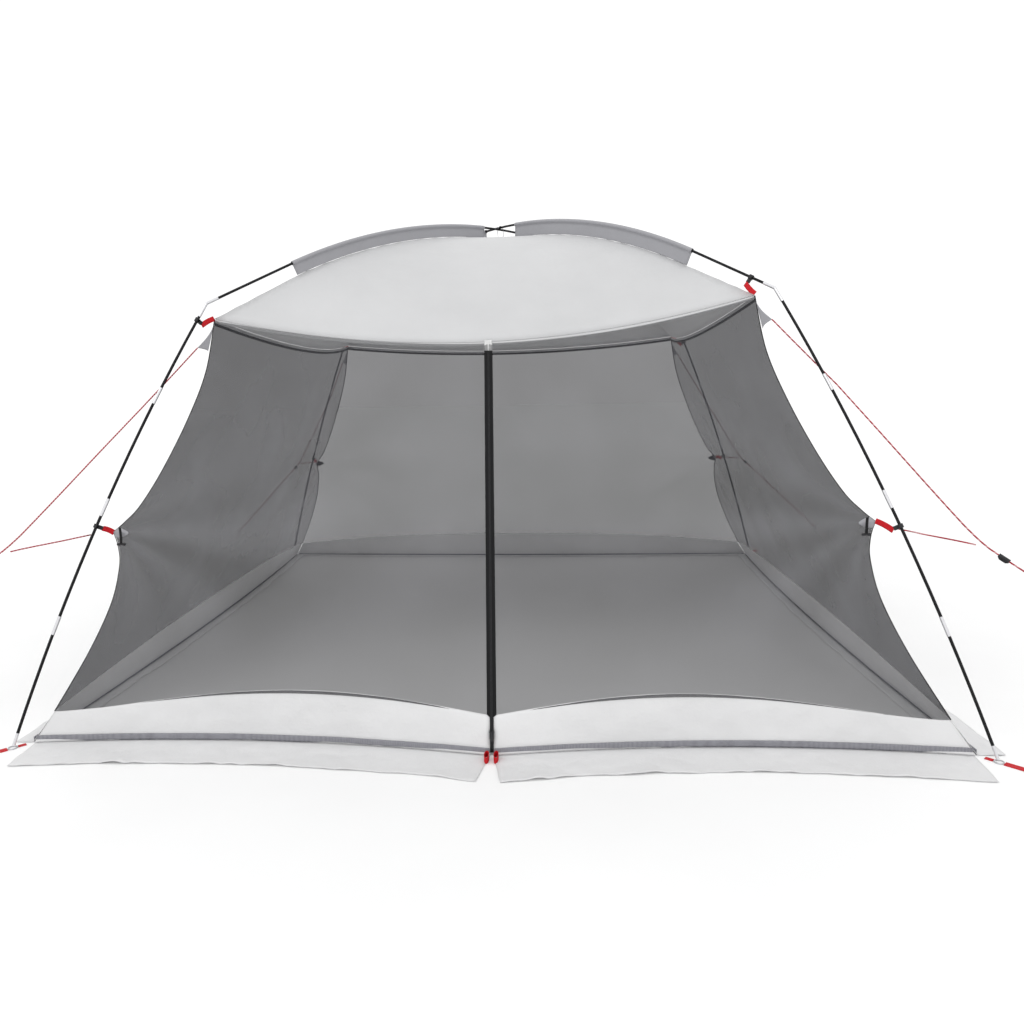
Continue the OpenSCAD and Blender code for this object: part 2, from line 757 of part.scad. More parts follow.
// It leans against the leg where it passes, so it steps this far aside there
PASS_AT = 1357;
PASS_SIDE = [0, 20, 0, 20];
function rope_step(p) =
  max(0, min((p[0] - UPPER_ROUTE[0][0]) / (PASS_AT - UPPER_ROUTE[0][0]), (MEET_AT - p[0]) / (MEET_AT - PASS_AT)));
function upper_rope_point(k, p) =
  rope_point(k, p)
  + max(0, (MEET_AT - p[0]) / (MEET_AT - UPPER_ROUTE[0][0])) * [roof_shift, 0, TIP_RISE[k]]
  + rope_step(p) * [PASS_SIDE[k], 0, 0];
TENSIONER_LEN = 38;
TENSIONER_R = 7;

module guy_rope(k) {
  color("#d11f26")
    tube([for (p = UPPER_ROUTE) upper_rope_point(k, p)], rope_r);
}

module lower_guy(k) {
  color("#d11f26")
    tube([for (p = LOWER_ROUTE) rope_point(k, p)], rope_r);
}

// A moulded slider with a hole that the rope runs through
module tensioner(k) {
  from = rope_point(k, TENSIONER_AT);
  to = rope_point(k, TENSIONER_AT + TAIL / 10);
  color("#202022")
    along(from, to)
      difference() {
        hull() {
          cylinder(r = TENSIONER_R, h = TENSIONER_LEN);
          translate([9, 0, 8]) cylinder(r = 4, h = TENSIONER_LEN - 16);
        }
        translate([0, 0, -1]) cylinder(r = rope_r + 1.4, h = TENSIONER_LEN + 2);
      }
}

// The visible heads of the ground pegs that hold the guy ropes
PEG_AT = 2642;
PEG_R = 4;
PEG_H = 45;

module guy_pegs() {
  color("#b8b8bc")
    for (k = [0:3])
      translate(rope_point(k, [PEG_AT, 0])) {
        cylinder(r = PEG_R, h = PEG_H);
        translate([0, 0, PEG_H - 10])
          rotate([0, 90, atan2(SY[k], SX[k])])
            cylinder(r = PEG_R - 1, h = 22);
      }
}

leg_tubes(0);  // leg_tubes_front_left
leg_tubes(1);  // leg_tubes_front_right
leg_tubes(2);  // leg_tubes_back_right
leg_tubes(3);  // leg_tubes_back_left
foot_tips();
pole_ferrules();
pole_elbows();
roof_pole(0);  // roof_pole_lower
roof_pole(1);  // roof_pole_upper
roof_panel(0);  // roof_front
roof_panel(1);  // roof_right
roof_panel(2);  // roof_back
roof_panel(3);  // roof_left
sleeve(0);  // sleeve_front_left
sleeve(1);  // sleeve_front_right
sleeve(2);  // sleeve_back_right
sleeve(3);  // sleeve_back_left
apex_tie();
pole_clips();
red_straps();
corner_patches();
mesh_wall(3);  // wall_left
mesh_wall(1);  // wall_right
mesh_wall(2);  // wall_back
front_panel(0);  // front_panel_left
front_panel(1);  // front_panel_right
flap_mesh(0);  // flap_mesh_left
flap_mesh(1);  // flap_mesh_right
side_band(3);  // band_left
side_band(1);  // band_right
side_band(2);  // band_back
flap_band(0);  // flap_band_left
flap_band(1);  // flap_band_right
ground_skirts();
flap_skirt(0);  // flap_skirt_left
flap_skirt(1);  // flap_skirt_right
zip_tape(0);  // zip_tape_left
zip_tape(1);  // zip_tape_right
zip_slider();
zip_pull();
tie_back(0);  // tie_back_left
tie_back(1);  // tie_back_right
peg_loop(0);  // peg_loop_left
peg_loop(1);  // peg_loop_right
foot_rings();
foot_loops();
guy_rope(0);  // guy_rope_front_left
guy_rope(1);  // guy_rope_front_right
guy_rope(2);  // guy_rope_back_right
guy_rope(3);  // guy_rope_back_left
lower_guy(0);  // lower_guy_front_left
lower_guy(1);  // lower_guy_front_right
lower_guy(2);  // lower_guy_back_right
lower_guy(3);  // lower_guy_back_left
tensioner(0);  // tensioner_front_left
tensioner(1);  // tensioner_front_right
tensioner(2);  // tensioner_back_right
tensioner(3);  // tensioner_back_left
guy_pegs();
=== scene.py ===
import math

import bpy
from mathutils import Matrix, Vector, noise


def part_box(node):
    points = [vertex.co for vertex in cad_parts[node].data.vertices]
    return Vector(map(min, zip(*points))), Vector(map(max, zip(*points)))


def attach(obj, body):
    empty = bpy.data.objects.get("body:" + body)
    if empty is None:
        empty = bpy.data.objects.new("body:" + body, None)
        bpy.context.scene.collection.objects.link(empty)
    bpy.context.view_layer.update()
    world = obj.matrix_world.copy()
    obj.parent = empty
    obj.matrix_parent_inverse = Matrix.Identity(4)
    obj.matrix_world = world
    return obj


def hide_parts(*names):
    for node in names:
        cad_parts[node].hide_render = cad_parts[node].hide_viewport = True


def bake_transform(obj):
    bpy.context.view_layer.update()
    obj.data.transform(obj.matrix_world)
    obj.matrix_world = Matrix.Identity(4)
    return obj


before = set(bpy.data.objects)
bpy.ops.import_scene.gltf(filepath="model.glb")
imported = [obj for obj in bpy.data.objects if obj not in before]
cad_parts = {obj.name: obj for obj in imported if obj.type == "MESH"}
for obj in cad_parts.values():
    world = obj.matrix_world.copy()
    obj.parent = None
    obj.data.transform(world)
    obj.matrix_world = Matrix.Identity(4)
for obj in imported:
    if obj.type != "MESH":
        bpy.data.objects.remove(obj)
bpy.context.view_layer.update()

# ---------------------------------------------------------------- measures

# Signs of X and Y at the corners, counter-clockwise from the front left
SX = (-1, 1, 1, -1)
SY = (-1, -1, 1, 1)
CORNERS = ("front_left", "front_right", "back_right", "back_left")
SIDES = ("left", "right")
# Inward direction of the wall from corner k to corner k + 1
INWARD = (Vector((0, 1, 0)), Vector((-1, 0, 0)), Vector((0, -1, 0)), Vector((1, 0, 0)))
UP = Vector((0, 0, 1))


def extreme(node, *direction):
    """The vertex of a CAD node that lies furthest along a direction."""
    way = Vector(direction)
    return max((v.co.copy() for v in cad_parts[node].data.vertices), key=lambda p: p.dot(way))


# Corners of the roof and of the walls on the ground, read from the CAD nodes
ROOF_CORNER = (
    extreme("roof_front", -1, -1, 0),
    extreme("roof_front", 1, -1, 0),
    extreme("roof_back", 1, 1, 0),
    extreme("roof_back", -1, 1, 0),
)
FOOT_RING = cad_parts["foot_rings"].data.vertices


def ring_centre(k):
    """Middle of the steel ring at a pole's foot."""
    near = [v.co for v in FOOT_RING if v.co.x * SX[k] > 0 and v.co.y * SY[k] > 0]
    low = Vector([min(p[i] for p in near) for i in range(3)])
    high = Vector([max(p[i] for p in near) for i in range(3)])
    return (low + high) / 2


# The pole feet stand this far outside the wall corners, along X and Y
FOOT_OUT = 0.045
WALL_CORNER = tuple(
    Vector((ring_centre(k).x - SX[k] * FOOT_OUT, ring_centre(k).y - SY[k] * FOOT_OUT, 0))
    for k in range(4)
)
CROSSING = Vector((0, (ROOF_CORNER[0].y + ROOF_CORNER[2].y) / 2, 0))
# The roof's corners stand on a square whose middle is this far to the right of the crossing
ROOF_SHIFT = (ROOF_CORNER[0].x + ROOF_CORNER[2].x) / 2
ROOF_REACH = (ROOF_CORNER[2].x - ROOF_SHIFT) * math.sqrt(2)
EDGE_BOW = 0.05
EDGE_SAG = (0.138, 0.065, 0.065, 0.065)
WALL_BOW = 0.05
FRONT_BOW = 0.07
BAND_HEIGHT = 0.18
BAND_CORNER = 0.10
ZIP_FOOT = Vector((0.04, -1.77, 0))
ZIP_HEAD = Vector((0, ROOF_CORNER[0].y + EDGE_BOW, 1.487))
SHEET_GAP = 0.002

# ---------------------------------------------------------------- camera

# Focal length in millimetres on a 36 mm frame, height of the eye and the way it looks
LENS = 27.83
EYE = Vector((0.254, -4.418, 1.2935))
YAW = math.radians(-2.77)
PITCH = math.radians(-8.85)
ROLL = math.radians(-0.96)


def make_camera():
    data = bpy.data.cameras.new("camera")
    data.lens = LENS
    data.sensor_width = 36
    camera = bpy.data.objects.new("camera", data)
    bpy.context.scene.collection.objects.link(camera)
    turn = (
        Matrix.Rotation(-YAW, 4, "Z")
        @ Matrix.Rotation(math.radians(90) + PITCH, 4, "X")
        @ Matrix.Rotation(ROLL, 4, "Z")
    )
    camera.matrix_world = Matrix.Translation(EYE) @ turn
    bpy.context.scene.camera = camera


make_camera()

# ---------------------------------------------------------------- node helpers


class Graph:
    """A material's node graph with short ways to add what the fabrics need."""

    def __init__(self, name, colour, roughness):
        self.material = bpy.data.materials.new(name)
        self.material.use_nodes = True
        self.tree = self.material.node_tree
        self.shader = self.tree.nodes["Principled BSDF"]
        self.shader.inputs["Base Color"].default_value = (*colour, 1)
        self.shader.inputs["Roughness"].default_value = roughness
        self.place = self.tree.nodes.new("ShaderNodeTexCoord").outputs["Object"]

    def add(self, kind, **values):
        node = self.tree.nodes.new(kind)
        for key, value in values.items():
            setattr(node, key, value)
        return node

    def link(self, source, target):
        self.tree.links.new(source, target)

    def noise(self, scale, detail=3, roughness=0.5, stretch=None):
        node = self.add("ShaderNodeTexNoise")
        node.inputs["Scale"].default_value = scale
        node.inputs["Detail"].default_value = detail
        node.inputs["Roughness"].default_value = roughness
        place = self.place
        if stretch:
            mapping = self.add("ShaderNodeMapping")
            mapping.inputs["Scale"].default_value = stretch
            self.link(place, mapping.inputs["Vector"])
            place = mapping.outputs["Vector"]
        self.link(place, node.inputs["Vector"])
        return node.outputs["Fac"]

    def wave(self, scale, axis):
        node = self.add("ShaderNodeTexWave", bands_direction=axis)
        node.inputs["Scale"].default_value = scale
        self.link(self.place, node.inputs["Vector"])
        return node.outputs["Fac"]

    def ramp(self, source, stops):
        node = self.add("ShaderNodeValToRGB")
        elements = node.color_ramp.elements
        while len(elements) < len(stops):
            elements.new(0.5)
        for element, (at, colour) in zip(elements, stops):
            element.position = at
            element.color = (*colour, 1)
        self.link(source, node.inputs["Fac"])
        return node.outputs["Color"]

    def sum(self, *parts):
        """Adds (source, weight) pairs."""
        total = None
        for source, weight in parts:
            scaled = self.add("ShaderNodeMath", operation="MULTIPLY")
            scaled.inputs[1].default_value = weight
            self.link(source, scaled.inputs[0])
            if total is None:
                total = scaled.outputs[0]
                continue
            both = self.add("ShaderNodeMath", operation="ADD")
            self.link(total, both.inputs[0])
            self.link(scaled.outputs[0], both.inputs[1])
            total = both.outputs[0]
        return total

    def bump(self, height, distance):
        node = self.add("ShaderNodeBump")
        node.inputs["Distance"].default_value = distance
        node.inputs["Strength"].default_value = 1.0
        self.link(height, node.inputs["Height"])
        self.link(node.outputs["Normal"], self.shader.inputs["Normal"])

    def colour(self, source):
        self.link(source, self.shader.inputs["Base Color"])

    def roughness(self, source, low, high):
        node = self.add("ShaderNodeMapRange")
        node.inputs["To Min"].default_value = low
        node.inputs["To Max"].default_value = high
        self.link(source, node.inputs["Value"])
        self.link(node.outputs["Result"], self.shader.inputs["Roughness"])


def shade(colour, factor):
    return tuple(min(1.0, c * factor) for c in colour)


# ---------------------------------------------------------------- materials


def coated_cloth(name, colour, wrinkle=0.004, sheen=0.1):
    """Coated polyester: a tight plain weave, small creases and soft blotches."""
    g = Graph(name, colour, 0.5)
    blotch = g.noise(2.3, 4, 0.6)
    g.colour(g.ramp(blotch, [(0.3, shade(colour, 0.95)), (0.7, shade(colour, 1.03))]))
    crease = g.noise(9, 5, 0.62)
    fine = g.noise(60, 3, 0.5)
    threads = g.sum((g.wave(420, "X"), 0.5), (g.wave(420, "Z"), 0.5), (g.wave(420, "Y"), 0.5))
    g.bump(g.sum((crease, 1.0), (fine, 0.08), (threads, 0.012)), wrinkle)
    g.roughness(fine, 0.42, 0.62)
    g.shader.inputs["Sheen Weight"].default_value = sheen
    g.shader.inputs["Sheen Roughness"].default_value = 0.5
    return g.material


def insect_mesh(name, colour, alpha):
    """Fine black netting, seen through as an even veil. Its colour carries painted highlights where a fold
    stands off one way and painted shade where it stands off the other, over random paler and darker
    patches.
    """
    g = Graph(name, colour, 0.8)
    g.shader.inputs["Alpha"].default_value = alpha
    fold = g.add("ShaderNodeAttribute", attribute_name="fold").outputs["Fac"]
    # painted highlight and painted shade of the folds, with random paler and darker patches
    tone = g.sum((fold, 1.1), (g.noise(3.1, 4, 0.6), 0.35))
    g.colour(g.ramp(tone, [(0.2, shade(colour, 0.5)), (0.55, colour), (1.0, shade(colour, 4.5))]))
    g.bump(g.noise(14, 2, 0.5), 0.0015)
    g.shader.inputs["Specular IOR Level"].default_value = 0.1
    return g.material


def webbing(name, colour, roughness=0.6):
    """Woven tape with fine ribs across; the valleys between the yarns get painted shade, mixed with random
    tone.
    """
    g = Graph(name, colour, roughness)
    ribs = g.sum((g.wave(260, "X"), 0.4), (g.wave(260, "Y"), 0.4), (g.wave(260, "Z"), 0.4))
    # the darker rib valleys are painted shade; the noise adds random tone
    tone = g.sum((ribs, 0.5), (g.noise(90, 3), 0.5))
    g.colour(g.ramp(tone, [(0.2, shade(colour, 0.72)), (0.75, shade(colour, 1.1))]))
    g.bump(ribs, 0.0006)
    g.shader.inputs["Specular IOR Level"].default_value = 0.2
    return g.material


def pole_finish(name):
    """Wrapped fibreglass: near black and glossy, with faint spiral streaks and scuffs."""
    colour = (0.006, 0.006, 0.007)
    g = Graph(name, colour, 0.4)
    streak = g.noise(40, 4, 0.6, (1, 1, 6))
    g.colour(g.ramp(streak, [(0.35, shade(colour, 0.7)), (0.7, shade(colour, 1.9))]))
    g.roughness(g.noise(120, 3), 0.35, 0.55)
    g.bump(g.noise(220, 2), 0.0002)
    g.shader.inputs["Specular IOR Level"].default_value = 0.18
    return g.material


def metal(name, colour, roughness, brushed=True):
    """Drawn aluminium or plated steel with fine lines and dull patches."""
    g = Graph(name, colour, roughness)
    g.shader.inputs["Metallic"].default_value = 1.0
    lines = g.noise(180, 3, 0.5, (1, 1, 8) if brushed else None)
    g.colour(g.ramp(lines, [(0.3, shade(colour, 0.86)), (0.75, shade(colour, 1.05))]))
    g.roughness(g.noise(25, 4), roughness - 0.08, roughness + 0.14)
    g.bump(lines, 0.0002)
    return g.material


def moulded_plastic(name, colour, roughness=0.5):
    """Moulded nylon with a fine grain and lighter worn edges."""
    g = Graph(name, colour, roughness)
    wear = g.noise(55, 4, 0.65)
    g.colour(g.ramp(wear, [(0.45, colour), (0.8, shade(colour, 1.9))]))
    g.bump(g.noise(900, 2), 0.0002)
    g.roughness(wear, roughness - 0.08, roughness + 0.12)
    g.shader.inputs["Specular IOR Level"].default_value = 0.3
    return g.material


def guy_line(name, red, white):
    """Braided cord: red with a white fleck in every turn of the braid."""
    g = Graph(name, red, 0.6)
    braid = g.sum((g.wave(34, "DIAGONAL"), 0.7), (g.noise(260, 2), 0.3))
    g.colour(g.ramp(braid, [(0.0, shade(red, 0.75)), (0.72, red), (0.84, white), (1.0, white)]))
    g.bump(g.wave(150, "DIAGONAL"), 0.0005)
    return g.material


ROOF = coated_cloth("roof_cloth", (0.545, 0.548, 0.555), 0.003)
# The inner face is paler, in place of the light that comes through the real cloth
ROOF_UNDER = coated_cloth("roof_inner_face", (0.93, 0.93, 0.935), 0.003)
GREY = coated_cloth("grey_cloth", (0.31, 0.31, 0.33), 0.003)
BAND = coated_cloth("band_cloth", (0.68, 0.68, 0.685), 0.006)
# The bands of the three walls and the inner strips are the band cloth made paler: painted light in place of
# the light that comes through the thin cloth
BAND_PAINTED_LIGHT = coated_cloth("band_cloth_painted_light", (0.93, 0.93, 0.935), 0.004)
FRONT_NET = insect_mesh("front_net", (0.03, 0.03, 0.033), 0.42)
# The side walls are the same netting with a darker colour: painted shade
SIDE_NET_PAINTED_SHADE = insect_mesh("side_net_painted_shade", (0.022, 0.022, 0.025), 0.82)
BACK_NET = insect_mesh("back_net", (0.03, 0.03, 0.033), 0.68)
BINDING = webbing("black_binding", (0.009, 0.009, 0.01))
GREY_TAPE = webbing("grey_tape", (0.30, 0.30, 0.33))
RED = webbing("red_webbing", (0.62, 0.012, 0.02))
ZIP = webbing("zip_tape", (0.008, 0.008, 0.009), 0.7)
WHITE_TAB = webbing("white_tab", (0.82, 0.82, 0.82))
POLE = pole_finish("fibreglass")
SILVER = metal("aluminium", (0.74, 0.74, 0.76), 0.3)
STEEL = metal("steel", (0.62, 0.62, 0.64), 0.32, False)
BLACK = moulded_plastic("black_nylon", (0.016, 0.016, 0.018))
CORD = guy_line("guy_line", (0.42, 0.012, 0.03), (0.7, 0.45, 0.45))

# ---------------------------------------------------------------- geometry helpers


def link(obj, material, body):
    obj.data.materials.append(material)
    bpy.context.scene.collection.objects.link(obj)
    if body:
        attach(obj, body)
    return obj


def smooth(mesh):
    for polygon in mesh.polygons:
        polygon.use_smooth = True


def grid(name, rows, material, body="house", thickness=0.0, closed=False):
    """A sheet through rows of points, with a real thickness where one is given."""
    count = len(rows[0])
    faces = []
    for i in range(len(rows) - 1):
        for j in range(count if closed else count - 1):
            a = i * count + j
            b = i * count + (j + 1) % count
            faces.append((a, b, b + count, a + count))
    mesh = bpy.data.meshes.new(name)
    mesh.from_pydata([tuple(p) for row in rows for p in row], [], faces)
    mesh.validate()
    smooth(mesh)
    obj = bpy.data.objects.new(name, mesh)
    if thickness:
        solid = obj.modifiers.new("thickness", "SOLIDIFY")
        solid.thickness = thickness
        solid.offset = 0
    return link(obj, material, body)


# A net this far off its even shape gets the full painted highlight of a fold on one side and the full
# painted shade on the other
FOLD_FULL = 0.03


def mark_fold_shading(net, rest):
    """Stores how far each point of a net stands off its even shape, from 0 to 1, which the netting turns
    into painted highlight and painted shade.
    """
    values = []
    for vertex, even in zip(net.data.vertices, rest):
        step = vertex.co - even
        values.append(0.5 + math.copysign(step.length, step.x + step.y) / FOLD_FULL)
    fold = net.data.attributes.new("fold", "FLOAT", "POINT")
    fold.data.foreach_set("value", [min(1.0, max(0.0, value)) for value in values])


def strip(name, path, across, width, material, body="house", thickness=0.0012, crown=0.0):
    """A flat tape along a path. across(i) is the direction of its width at each point."""
    rows = []
    for i, point in enumerate(path):
        side = across(i).normalized()
        along = path[min(i + 1, len(path) - 1)] - path[max(i - 1, 0)]
        out = side.cross(along).normalized()
        rows.append([
            point + side * width * (s / 4) + out * crown * (1 - (s / 2) ** 2) for s in (-2, -1, 0, 1, 2)
        ])
    return grid(name, rows, material, body, thickness)


def tube(name, path, radius, material, body="house", steps=12):
    """A round rod along a path, with closed ends."""
    rows = []
    for i, point in enumerate(path):
        along = (path[min(i + 1, len(path) - 1)] - path[max(i - 1, 0)]).normalized()
        side = along.cross(UP if abs(along.z) < 0.9 else Vector((1, 0, 0))).normalized()
        up = side.cross(along)
        ring = [2 * math.pi * j / steps for j in range(steps)]
        rows.append([point + radius * (math.cos(a) * side + math.sin(a) * up) for a in ring])
    rows.insert(0, [path[0]] * steps)
    rows.append([path[-1]] * steps)
    return grid(name, rows, material, body, closed=True)


def revolve(name, profile, centre, material, body, steps=24):
    """A turned piece along X: profile is (x, radius) pairs."""
    rows = [
        [
            centre
            + Vector((x, r * math.cos(2 * math.pi * j / steps), r * math.sin(2 * math.pi * j / steps)))
            for j in range(steps)
        ]
        for x, r in profile
    ]
    return grid(name, rows, material, body, closed=True)


def join_points(pairs):
    """Catmull-Rom curve through flat points, 0 to 1 over the whole list."""
    points = [Vector((a, b, 0)) for a, b in pairs]

    def at(t):
        x = min(max(t, 0.0), 1.0) * (len(points) - 1)
        i = min(int(x), len(points) - 2)
        f = x - i
        p0 = points[max(i - 1, 0)]
        p1, p2 = points[i], points[i + 1]
        p3 = points[min(i + 2, len(points) - 1)]
        return 0.5 * (
            2 * p1 + (p2 - p0) * f
            + (2 * p0 - 5 * p1 + 4 * p2 - p3) * f * f
            + (3 * p1 - p0 - 3 * p2 + p3) * f ** 3
        )

    return at


def rumple(point, size, amount, seed=0.0):
    """Smooth random height of about +-amount, the same on every run."""
    return amount * noise.noise((point + Vector((seed, seed * 1.7, seed * 0.6))) / size)


# ---------------------------------------------------------------- guy ropes

# Points of the ropes: distance from the crossing along both X and Y, and height
UPPER_ROUTE = (
    (1.182, 1.494), (1.240, 1.413), (1.300, 1.330), (1.360, 1.248), (1.420, 1.167), (1.480, 1.086),
    (1.540, 1.004), (1.600, 0.922), (1.660, 0.841), (1.700, 0.788), (1.726, 0.757), (1.744, 0.738),
    (1.760, 0.723), (1.800, 0.690), (1.860, 0.642), (1.940, 0.578), (2.030, 0.506), (2.130, 0.426),
    (2.230, 0.346), (2.330, 0.266), (2.430, 0.186), (2.530, 0.106), (2.590, 0.058), (2.630, 0.026),
)
LOWER_ROUTE = (
    (1.535, 0.758), (1.570, 0.753), (1.605, 0.748), (1.640, 0.744), (1.675, 0.740), (1.705, 0.736),
    (1.728, 0.732),
)
ROPE_R = 0.0027
# The upper rope starts at the patch and comes into the diagonal plane where the ropes meet
MEET_AT = 1.760
# It leans against the leg where it passes, so it steps this far aside there
PASS_AT = 1.357
PASS_SIDE = (0, 0.020, 0, 0.020)
# How much higher than UPPER_ROUTE says each rope starts
TIP_RISE = (-0.010, 0.058, 0.020, 0.005)


def route_point(k, p):
    return Vector((SX[k] * p[0], CROSSING.y + SY[k] * p[0], p[1]))


def upper_route_point(k, p):
    start = UPPER_ROUTE[0][0]
    share = max(0.0, (MEET_AT - p[0]) / (MEET_AT - start))
    step = max(0.0, min((p[0] - start) / (PASS_AT - start), (MEET_AT - p[0]) / (MEET_AT - PASS_AT)))
    start_offset = Vector((ROOF_SHIFT, 0, TIP_RISE[k]))
    return route_point(k, p) + share * start_offset + Vector((step * PASS_SIDE[k], 0, 0))


def rope(name, points):
    data = bpy.data.curves.new(name, "CURVE")
    data.dimensions = "3D"
    data.bevel_depth = ROPE_R
    data.bevel_resolution = 3
    spline = data.splines.new("POLY")
    spline.points.add(len(points) - 1)
    for target, point in zip(spline.points, points):
        target.co = (*point, 1)
    obj = bpy.data.objects.new(name, data)
    return obj


def make_ropes():
    for k, corner in enumerate(CORNERS):
        points = [upper_route_point(k, p) for p in UPPER_ROUTE]
        upper = link(rope(f"guy_line_{corner}", points), CORD, "house")
        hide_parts(f"guy_rope_{corner}")
        low = [route_point(k, p) for p in LOWER_ROUTE]
        lower = tube(f"lower_line_{corner}", low, ROPE_R, CORD, None)
        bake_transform(lower)
        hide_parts(f"lower_guy_{corner}")


make_ropes()

# ---------------------------------------------------------------- roof

# The arc of the poles over the roof: its radius, and the height of the crossing
ARCH_R = 2.85
APEX_HEIGHT = 2.15
# The roof seams follow that arc this far below it, up to RIDGE_ANGLE from the crossing
SEAM_DROP = 0.055
RIDGE_R = ARCH_R - SEAM_DROP
RIDGE_ANGLE = math.radians(26)
RIDGE_TOP = APEX_HEIGHT - SEAM_DROP


def seam_top(k, u):
    """A point on the roof seam of corner k, u = 0 at the crossing and 1 at the roof corner."""
    corner = ROOF_CORNER[k]
    out = Vector((SX[k], SY[k], 0)) / math.sqrt(2)
    bend = RIDGE_R * math.sin(RIDGE_ANGLE) / ROOF_REACH
    centre = CROSSING + UP * (RIDGE_TOP - RIDGE_R)

    def arc(angle):
        return centre + RIDGE_R * (math.sin(angle) * out + math.cos(angle) * UP)

    if u <= bend:
        return arc(math.asin(u * ROOF_REACH / RIDGE_R))
    return arc(RIDGE_ANGLE).lerp(corner, (u - bend) / (1 - bend))


def roof_point(k, u, v):
    """Roof panel k spans corners k and k + 1; v runs from -1 to 1 along its edge."""
    point = seam_top(k, u).lerp(seam_top((k + 1) % 4, u), (v + 1) / 2)
    return point + (1 - v * v) * u * u * (EDGE_BOW * INWARD[k] - EDGE_SAG[k] * UP)


ROOF_ROWS = 34
ROOF_ACROSS = 40


def make_roof():
    rows = []
    for i in range(1, ROOF_ROWS + 1):
        u = 0.02 + 0.98 * i / ROOF_ROWS
        row = []
        for k in range(4):
            for j in range(ROOF_ACROSS):
                v = -1 + 2 * j / ROOF_ACROSS
                point = roof_point(k, u, v)
                free = (1 - v ** 4) * math.sin(math.pi * min(u, 0.999)) ** 0.6
                # the cloth puckers a little where it is sewn along the seams
                pucker = 0.0012 * math.sin(u * 95) * math.exp(-(1 - abs(v)) * u * 22)
                point.z += free * rumple(point, 0.45, 0.008) + pucker
                row.append(point)
        rows.append(row)
    roof = grid("roof_canopy", rows, ROOF_UNDER, thickness=0.0008, closed=True)
    # the rows run so that the sheet's own faces look down, and its second shell is the outside
    roof.data.materials.append(ROOF)
    shell = roof.modifiers["thickness"]
    shell.material_offset = 1
    shell.material_offset_rim = 1
    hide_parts("roof_front", "roof_right", "roof_back", "roof_left")
    return roof


def make_roof_hems():
    """The doubled hem that hangs over the head of each wall."""
    hems = []
    for k in range(4):
        top = [roof_point(k, 1, -1 + 2 * j / 60) for j in range(61)]
        rows = [
            [p - INWARD[k] * 0.001 * s - UP * (0.002 + 0.014 * s) for p in top]
            for s in (0.0, 0.25, 0.5, 0.75, 1.0)
        ]
        hems.append(grid(f"roof_hem_{k}", rows, ROOF, thickness=0.001))
    return hems


ROOF_PIECE = make_roof()
ROOF_HEMS = make_roof_hems()

# ---------------------------------------------------------------- sleeves

SLEEVE_R = 0.0095
SLEEVE_FROM = math.radians(2.4)
# The fin starts FIN_BELOW under the pole's middle line and ends FIN_DEPTH under it
FIN_DEPTH = 0.053
FIN_BELOW = 0.008
# Half of the gap between the fin's two faces
FIN_HALF = 0.0012
# Half of the gap in degrees that the loop leaves open where the fin starts
LOOP_GAP = 8


def make_sleeve(k):
    """A loop of grey cloth round the pole, closed below it into a fin sewn to the seam."""
    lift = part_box("roof_pole_upper")[1][2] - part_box("roof_pole_lower")[1][2] if k % 2 else 0.0
    centre = CROSSING + UP * (RIDGE_TOP + SEAM_DROP + lift - ARCH_R)
    out = Vector((SX[k], SY[k], 0)) / math.sqrt(2)
    side = Vector((-out.y, out.x, 0))
    fin = FIN_DEPTH + lift
    steps = 64
    rows = []
    for i in range(steps + 1):
        angle = SLEEVE_FROM + (RIDGE_ANGLE - SLEEVE_FROM) * i / steps
        radial = math.sin(angle) * out + math.cos(angle) * UP
        mid = centre + ARCH_R * radial
        wave = rumple(mid, 0.09, 0.004, 3.0 + k)
        row = []
        # up one face of the fin, round the pole, and down the other face
        for j in range(21):
            t = j / 20
            if t < 0.3:
                depth = fin * (1 - t / 0.3)
                off = wave * depth / fin * 0.6 - FIN_HALF
                row.append(mid - radial * (depth + FIN_BELOW) + side * off)
            elif t > 0.7:
                depth = fin * (t - 0.7) / 0.3
                off = wave * depth / fin * 0.6 + FIN_HALF
                row.append(mid - radial * (depth + FIN_BELOW) + side * off)
            else:
                turn = math.radians(-90 - LOOP_GAP - (360 - 2 * LOOP_GAP) * (t - 0.3) / 0.4)
                row.append(mid + SLEEVE_R * (math.cos(turn) * side + math.sin(turn) * radial))
        rows.append([mid + (p - mid) * min(1.0, fin / (p - mid).length) for p in row])
    sleeve = grid(f"pole_sleeve_{CORNERS[k]}", rows, GREY, thickness=0.0006)
    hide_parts(f"sleeve_{CORNERS[k]}")


for corner_index in range(4):
    make_sleeve(corner_index)


def make_apex_tie():
    """A grey loop that ties the roof's middle round both poles."""
    low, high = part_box("apex_tie")
    middle = Vector(((low[0] + high[0]) / 2, (low[1] + high[1]) / 2, 0))
    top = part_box("roof_pole_upper")[1][2]
    path = []
    for i in range(41):
        turn = 2 * math.pi * i / 40
        height = (low[2] + top) / 2 + (top - low[2]) / 2 * math.cos(turn)
        path.append(middle + Vector((0.016 * math.sin(turn), 0, height + 0.001)))
    tie = strip("apex_loop", path, lambda i: Vector((0, 1, 0)), 0.022, GREY)
    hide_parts("apex_tie")


make_apex_tie()

# ---------------------------------------------------------------- walls

# The corner seam: share of the roof corner's height, and share of the way out to the wall corner.
# The strap at mid height pulls the seam out into a point.
UPPER_SEAM = join_points([
    (1, 0), (0.867, 0.063), (0.743, 0.175), (0.619, 0.317), (0.533, 0.437), (0.495, 0.516), (0.474, 0.571),
])
LOWER_SEAM = join_points([
    (0.474, 0.571), (0.433, 0.556), (0.384, 0.56), (0.297, 0.611), (0.186, 0.73), (0.062, 0.897),
])
STRAP_SHARE = 0.52
BAND_SHARE = 0.062


